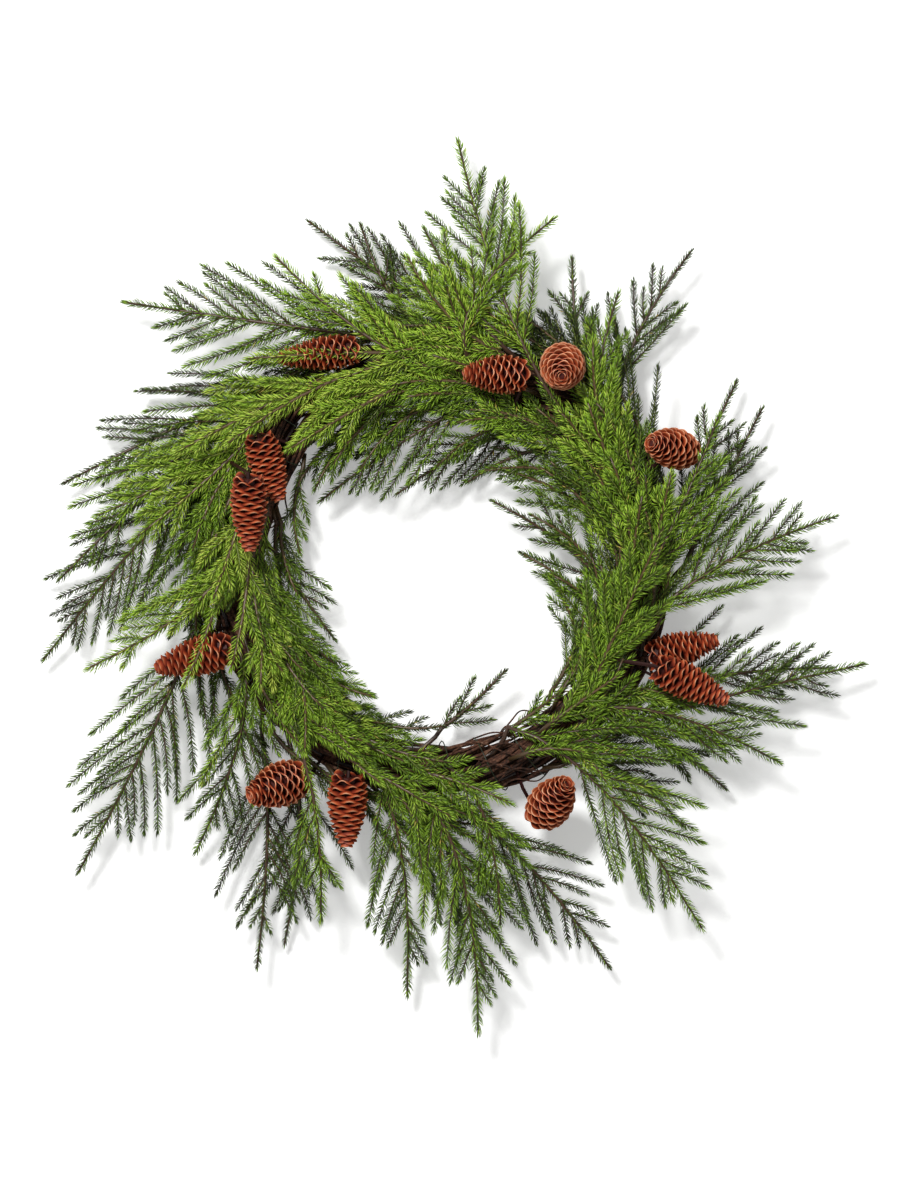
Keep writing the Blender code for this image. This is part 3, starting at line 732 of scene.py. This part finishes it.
def model_needle():
    """One needle, a unit long: three-sided, widest in the middle, its tip drawn forward."""
    bpy.ops.mesh.primitive_cone_add(vertices=3, radius1=0.7, radius2=1.0, depth=0.5,
                                    location=(0.0, 0.0, 0.25))
    needle = bpy.context.object
    bpy.ops.object.transform_apply(location=True)
    bpy.ops.object.mode_set(mode="EDIT")
    bpy.ops.mesh.select_mode(type="FACE")
    shape = bmesh.from_edit_mesh(needle.data)
    for face in shape.faces:
        face.select_set(face.normal.z > 0.9)
    bmesh.update_edit_mesh(needle.data)
    bpy.ops.mesh.extrude_region_move(TRANSFORM_OT_translate={"value": (0.0, 0.0, 0.5)})
    bpy.ops.mesh.merge(type="CENTER")
    bpy.ops.object.mode_set(mode="OBJECT")
    points = np.array([tuple(v.co) for v in needle.data.vertices])
    faces = np.array([t for face in needle.data.polygons for t in
                      [(face.vertices[0], face.vertices[i], face.vertices[i + 1])
                       for i in range(1, len(face.vertices) - 1)]])
    bpy.data.objects.remove(needle, do_unlink=True)
    return points, faces


def on_cones(points, spare):
    """Which of the points lie in a cone, or over one as seen from the front."""
    rods = np.array(bodies)
    start, run = rods[:, 0:3], rods[:, 3:6] - rods[:, 0:3]
    found = np.zeros(len(points), dtype=bool)
    for dims in (2, 3):
        offset = points[:, None, :dims] - start[None, :, :dims]
        flat = run[:, :dims]
        share = np.clip((offset * flat).sum(2) / (flat * flat).sum(1), -0.15, 1.15)
        room = np.linalg.norm(offset - share[:, :, None] * flat, axis=2) - rods[:, 6]
        above = points[:, 2:3] > start[:, 2] + share * run[:, 2]
        found |= ((room < spare) & (above | (dims == 3))).any(1)
    return found


def set_needles(points, tint, dice, bare=0.0):
    """Where needles stand along a twig: roots, directions, forward ways, lengths and tints."""
    full = float(np.interp(tint, [DARK_TINT, BRIGHT_TINT], NEEDLE_LENGTH))
    line = np.array([tuple(p) for p in points])
    steps = np.linalg.norm(np.diff(line, axis=0), axis=1)
    total = steps.sum()
    count = max(4, int((total - bare) / NEEDLE_STEP))
    at = bare + (np.arange(count) + dice.random(count)) / count * (total - bare)
    marks = np.concatenate([[0.0], np.cumsum(steps)])
    piece = np.clip(np.searchsorted(marks, at) - 1, 0, len(steps) - 1)
    share = (at - marks[piece]) / steps[piece]
    roots = line[piece] + (line[piece + 1] - line[piece]) * share[:, None]
    ahead = (line[piece + 1] - line[piece]) / steps[piece][:, None]
    up = np.tile([0.0, 0.0, 1.0], (count, 1))
    side = np.cross(ahead, up)
    side /= np.maximum(np.linalg.norm(side, axis=1), 1e-9)[:, None]
    above = np.cross(side, ahead)
    turn = np.arange(count) * GOLDEN + dice.normal(0, 0.25, count)
    out = side * np.cos(turn)[:, None] + above * (np.sin(turn) * NEEDLE_FLATNESS)[:, None]
    out /= np.linalg.norm(out, axis=1)[:, None]
    left = (total - at) / full
    lean = np.where(left < 1.0, TIP_LEAN + (NEEDLE_LEAN - TIP_LEAN) * left, NEEDLE_LEAN)
    lean = np.radians(lean + dice.normal(0, LEAN_SPREAD, count))
    way = ahead * np.cos(lean)[:, None] + out * np.sin(lean)[:, None]
    forward = ahead * np.sin(lean)[:, None] - out * np.cos(lean)[:, None]
    length = full * dice.normal(1.0, 0.09, count) * np.where(left < 1.0, 0.72 + 0.28 * left, 1.0)
    tints = tint + dice.normal(0, TINT_SPREAD, count)
    dead = (dice.random(count) < DEAD_SHARE) & (at < total * 0.5)
    tints = np.where(dead, DEAD_TINT, np.clip(tints, 0.0, BRIGHTEST))
    kept = ~on_cones(roots + way * length[:, None] * 0.7, 0.5 * MM) | on_cones(roots, 0.0)
    return roots[kept], way[kept], forward[kept], length[kept], tints[kept]


def grow_needles(runs, dice):
    """All needles of a spray as points, faces and map places. A run is (points, tint, bare length)."""
    shape_points, shape_faces = needle_shape
    sets = [set_needles(points, tint, dice, bare) for points, tint, bare in runs]
    roots, way, forward, length, tints = (np.concatenate(column) for column in zip(*sets))
    across = np.cross(forward, way)
    x, y, z = shape_points.T
    pull = NEEDLE_CURVE * z ** 2
    points = (roots[:, None] + way[:, None] * (z * length[:, None])[:, :, None]
              + forward[:, None] * (pull * length[:, None] + y * NEEDLE_RADIUS)[:, :, None]
              + across[:, None] * (x * NEEDLE_RADIUS)[None, :, None])
    points[:, :, 2] = np.maximum(points[:, :, 2], 0.5 * MM)
    count = len(roots)
    faces = (shape_faces[None] + (np.arange(count) * len(x))[:, None, None]).reshape(-1, 3)
    column = (np.floor(tints * UV_COLUMNS) + 0.5) / UV_COLUMNS
    uvs = np.stack([np.repeat(column[:, None], len(x), 1), np.tile(z.clip(0, 1), (count, 1))], axis=2)
    return points.reshape(-1, 3), faces, uvs.reshape(-1, 2)


def curl(start, end, lean, dice):
    """A twig as a slightly bent run of points, its tip drawn towards the given way."""
    middle = start.lerp(end, 0.55) - lean * 0.5 + Vector(tuple(dice.normal(0, 1.6 * MM, 3)))
    return [start, *bend(start, middle, end + lean, 5)]


def tint_with_painted_light(point):
    """How bright a spray is painted: painted light makes the high front sprays lighter, most of all at the
    upper left where the lamp is, and leaves the low outer ones darker.
    """
    front = min(1.0, max(0.0, (point.z / MM - 28) / 42))
    across = point - RING_CENTRE
    sunny = 0.5 + 0.5 * math.cos(math.atan2(across.y, across.x) - math.radians(150))
    return 0.25 + (0.20 + 0.13 * sunny) * front


def grow_spray(root, free, twigs, tint_of, seed, young=True):
    """One sprig's wood and needles, as points, faces and map places."""
    dice = np.random.default_rng(seed)
    stem = [*root, *free]
    count = len(stem)
    worn = [max(0.0, (i - len(root)) / (count - 1 - len(root))) for i in range(count)]
    radii = [STEM_RADIUS + (STEM_END_RADIUS - STEM_RADIUS) * w for w in worn]
    shoots = []
    green = [([root[-1], *free], tint_of(free[2]), 0.0)]
    for start, end in twigs:
        if on_cones(np.linspace(start, end, 6), 2 * MM).any():
            continue
        ahead = (free[-1] - root[-1]).normalized() * (end - start).length * 0.10
        line = curl(start, end, ahead, dice)
        shoots.append((line, np.linspace(*SHOOT_RADII, len(line))))
        green.append((line, tint_of(end) + float(dice.normal(0, 0.03)), 2 * MM))
    stem_column = (OLD_WOOD + YOUNG_WOOD) / 2 if young else OLD_WOOD
    shoot_column = YOUNG_WOOD if young else OLD_WOOD
    parts = [wood_part(tube("stem", [(stem, radii)], 6), stem_column, 0.3, 0.9)]
    if shoots:
        parts.append(wood_part(tube("shoots", shoots, 6), shoot_column, 0.3, 0.9))
    points, faces, uvs = grow_needles(green, dice)
    return join([*parts, (points, faces.tolist(), uvs)])


def show_sprigs(name, sprigs, *nodes):
    """One piece from several sprigs."""
    show(name, gather(*join(sprigs)), needle_wax, "spray", *nodes)


needle_wax = make_needle_wax()
needle_shape = model_needle()
for number, (row, (root, free, twigs)) in enumerate(zip(SPRAYS, sprays)):
    between = grow_twigs([root[-1], *free], 40 + number, list(bodies), FIRST_PAIR - PAIR_PITCH / 2,
                         BETWEEN_LENGTH)
    between = [twig for index, twig in enumerate(between) if (index * 5 + number) % 3]
    sprig = grow_spray(root, free, twigs + between, tint_with_painted_light, 900 + number, young=row[4] > 60)
    show_sprigs(f"needles_{number + 1:02d}", [sprig], f"spray_{number + 1:02d}")

# ---- Filler sprigs ---------------------------------------------------------------------------------
# Short bright sprigs are tucked over the ring last. They hide the vine and the stems' butts, and their
# tips all lead the same way round.
FILLER_ROOT = 25 * MM
FILLER_GROUP = 7                        # sprigs in one piece
FILLER_TINT_LIFT = 0.04                 # tint added to the sprays' own painted light
# clock where it is tucked in, side it leaves from, tip's clock, tip's reach, tip's height
FILLERS = [
    (88, 75, 132.5, 243, 84), (104, 80, 149.6, 210, 92), (118, 60, 156.5, 248, 78),
    (140, 50, 174.9, 266, 74), (136, 40, 171.4, 300, 62), (175, 70, 204.8, 241, 92),
    (172, 110, 206.0, 199, 90), (183, 120, 214.0, 186, 86), (218, 120, 244.0, 174, 84),
    (180, 150, 220.0, 135, 60), (190, 150, 235.9, 148, 62), (226, 90, 255.0, 192, 88),
    (240, 80, 273.0, 215, 82), (250, 60, 267.8, 278, 66), (258, 90, 286.8, 212, 80),
    (290, 90, 308.0, 202, 78), (300, 110, 329.3, 180, 80), (292, 140, 314.0, 149, 62),
    (318, 150, 341.8, 138, 60), (318, 70, 331.0, 257, 66), (298, 70, 307.8, 238, 74),
    (352, 80, 22.3, 215, 86), (350, 110, 19.4, 184, 88), (322, 110, 354.9, 169, 86),
    (335, 160, 357.0, 95, 44), (8, 160, 45.0, 123, 50), (48, 140, 83.4, 126, 66),
    (100, 150, 136.4, 128, 62), (70, 60, 96.0, 269, 76), (30, 80, 56.0, 236, 80),
    (160, 90, 188.0, 196, 92), (60, 100, 92.0, 182, 88), (20, 100, 48.0, 190, 84),
    # over the opening
    (5, 170, 63.4, 98, 40), (330, 170, 9.0, 74, 40), (318, 170, 354.7, 96, 38), (308, 165, 348.0, 132, 44),
    (22, 170, 66.0, 92, 46), (160, 170, 191.0, 126, 44), (186, 170, 222.0, 124, 44),
    (200, 165, 236.0, 140, 46), (84, 165, 129.0, 110, 50), (52, 170, 92.0, 88, 50),
    (110, 165, 148.0, 128, 52), (345, 168, 30.0, 92, 42),
]


def tuck(row):
    """A filler's run from the ring's surface to its tip."""
    clock, side, tip_clock, tip_reach, tip_height = row
    start = round_ring(clock, FILLER_ROOT, side)
    leave = round_ring(clock + 4, FREE_REACH - 4 * MM, side)
    tip = polar(tip_clock, tip_reach, tip_height)
    turn = math.radians(clock + 4)
    along = Vector((-math.sin(turn), math.cos(turn), 0.0))
    rise = (leave - start).normalized()
    knee = leave + (along * 0.9 + rise * 0.45).normalized() * (tip - leave).length * 0.45
    return [start, leave], bend(leave, knee, tip, STEM_PIECES)


def filler_tint(point):
    """A filler's tint: the sprays' painted light, a little lighter."""
    return tint_with_painted_light(point) + FILLER_TINT_LIFT


fillers = []
for number, row in enumerate(FILLERS):
    root, free = tuck(row)
    twigs = grow_twigs([root[-1], *free], 300 + number, list(bodies))
    fillers.append(grow_spray(root, free, twigs, filler_tint, 1900 + number))
for group in range(0, len(fillers), FILLER_GROUP):
    show_sprigs(f"filler_sprigs_{group // FILLER_GROUP + 1}", fillers[group:group + FILLER_GROUP])

# Short sprigs lie close along the ring between the others. A patch at the lower right stays bare.
# side from the horizontal, clock between two, where the first is, tint added. The tint added is painted
# light:
# a little lighter on the rows over the top, darker towards the sides, and much darker on the three rows at
# -0.22, painted shade for depth.
COVER_ROWS = [(24, 15, 0.0, -0.08), (56, 17, 4.0, 0.02), (84, 19, 8.0, 0.05), (112, 19, 2.0, 0.03),
              (140, 17, 6.0, 0.0), (168, 19, 10.0, -0.05), (70, 13, 5.0, -0.22), (125, 13, 1.0, -0.22),
              (30, 14, 8.0, -0.22)]
COVER_TINTS = (-0.12, -0.08, -0.03, 0.0, 0.04, 0.14)
COVER_SECTOR = 45                       # degrees of the ring in one piece
BARE_PATCH = (271.0, 303.0, 40.0)       # from and to where a sprig may not reach, and above which side
COVER_REACH = 30                        # degrees of clock that a sprig takes
COVER_SPARE = 5 * MM


def lay_along(clock, side, chance):
    """A short sprig's run along the ring, close to it."""
    clock += chance.uniform(-2, 2)
    side += chance.uniform(-9, 9)
    length = chance.uniform(24, 40)
    drift = chance.uniform(-24, 14)
    rise = chance.uniform(6, 26)
    root = [round_ring(clock - 2, 22 * MM, side), round_ring(clock + 2, 29 * MM, side)]
    free = []
    for step in range(1, STEM_PIECES + 1):
        share = step / STEM_PIECES
        off = (30 + rise * share ** 1.2) * MM
        free.append(round_ring(clock + 2 + length * share, off, side + drift * share))
    return root, free


groups = {}
chance = random.Random(77)
for index, (side, apart, first, row_painted_light) in enumerate(COVER_ROWS):
    for count in range(360 // apart):
        clock = first + apart * count
        root, free = lay_along(clock, side, chance)
        if side > BARE_PATCH[2] and BARE_PATCH[0] - COVER_REACH < clock < BARE_PATCH[1]:
            continue
        if not far_enough([root[-1], *free], COVER_SPARE, bodies, 0.0, leaving=True):
            continue
        if on_cones(np.array([tuple(p) for p in free]), 4 * MM).any():
            continue
        twigs = grow_twigs([root[-1], *free], 5000 + index * 100 + count, list(bodies))
        # the row's painted light and shade, plus the sprig's own random tone
        painted_light_and_tone = row_painted_light + chance.choice(COVER_TINTS)
        sprig = grow_spray(root, free, twigs, lambda point, painted_light_and_tone=painted_light_and_tone: filler_tint(point) + painted_light_and_tone,
                           7000 + index * 100 + count)
        groups.setdefault(int(clock // COVER_SECTOR), []).append(sprig)
for group, sprigs in sorted(groups.items()):
    show_sprigs(f"cover_sprigs_{group + 1}", sprigs)

# ---- Floor, light and camera -----------------------------------------------------------------------
# A plain white floor, one broad soft lamp above and a pale sky. The camera looks straight down.
SHADOW_LIFT = 0.30                      # the camera sees the floor's shadows this much paler
SKY_STRENGTH = 0.40


def make_floor_paint():
    """Matt white paint, which takes a soft shadow."""
    material, tree, shader = start_material("white_floor_paint", 0.9, 0.1)
    shader.inputs["Base Color"].default_value = linear("#FBFBFA")
    shader.inputs["Emission Color"].default_value = linear("#FFFFFF")
    seen = add_node(tree, "ShaderNodeLightPath").outputs["Is Camera Ray"]
    lift = add_node(tree, "ShaderNodeMath", [(0, seen)], operation="MULTIPLY")
    lift.inputs[1].default_value = SHADOW_LIFT
    tree.links.new(lift.outputs[0], shader.inputs["Emission Strength"])
    return material


bpy.ops.mesh.primitive_plane_add(size=12.0, location=(0.0, 0.0, -0.0005))
floor = bpy.context.object
floor.name = "floor"
floor.data.materials.append(make_floor_paint())

world = bpy.data.worlds.new("soft_sky")
bpy.context.scene.world = world
world.use_nodes = True
world.node_tree.nodes["Background"].inputs["Color"].default_value = (1.0, 1.0, 1.0, 1.0)
world.node_tree.nodes["Background"].inputs["Strength"].default_value = SKY_STRENGTH


def add_lamp(name, place, size, power):
    """A round soft lamp that faces the wreath."""
    lamp = bpy.data.lights.new(name, "AREA")
    lamp.shape = "DISK"
    lamp.size = size
    lamp.energy = power
    holder = bpy.data.objects.new(name, lamp)
    bpy.context.scene.collection.objects.link(holder)
    holder.location = place
    holder.rotation_euler = (Vector((0, 0, 0.03)) - Vector(place)).to_track_quat("-Z", "Y").to_euler()


add_lamp("key_light", (-0.8, 1.2, 2.4), 0.6, 66.0)

FRAME_HEIGHT = 1.05                     # metres of floor from the frame's top edge to its bottom edge
CAMERA_HEIGHT = 3.0
camera_data = bpy.data.cameras.new("camera")
camera_data.sensor_fit = "VERTICAL"
camera_data.sensor_height = 24.0
camera_data.lens = 24.0 * (CAMERA_HEIGHT - RING_HEIGHT) / FRAME_HEIGHT
camera = bpy.data.objects.new("camera", camera_data)
bpy.context.scene.collection.objects.link(camera)
camera.location = (RING_CENTRE.x + 0.00875, RING_CENTRE.y - 0.028, CAMERA_HEIGHT)
bpy.context.scene.camera = camera
bpy.context.scene.view_settings.view_transform = "Standard"
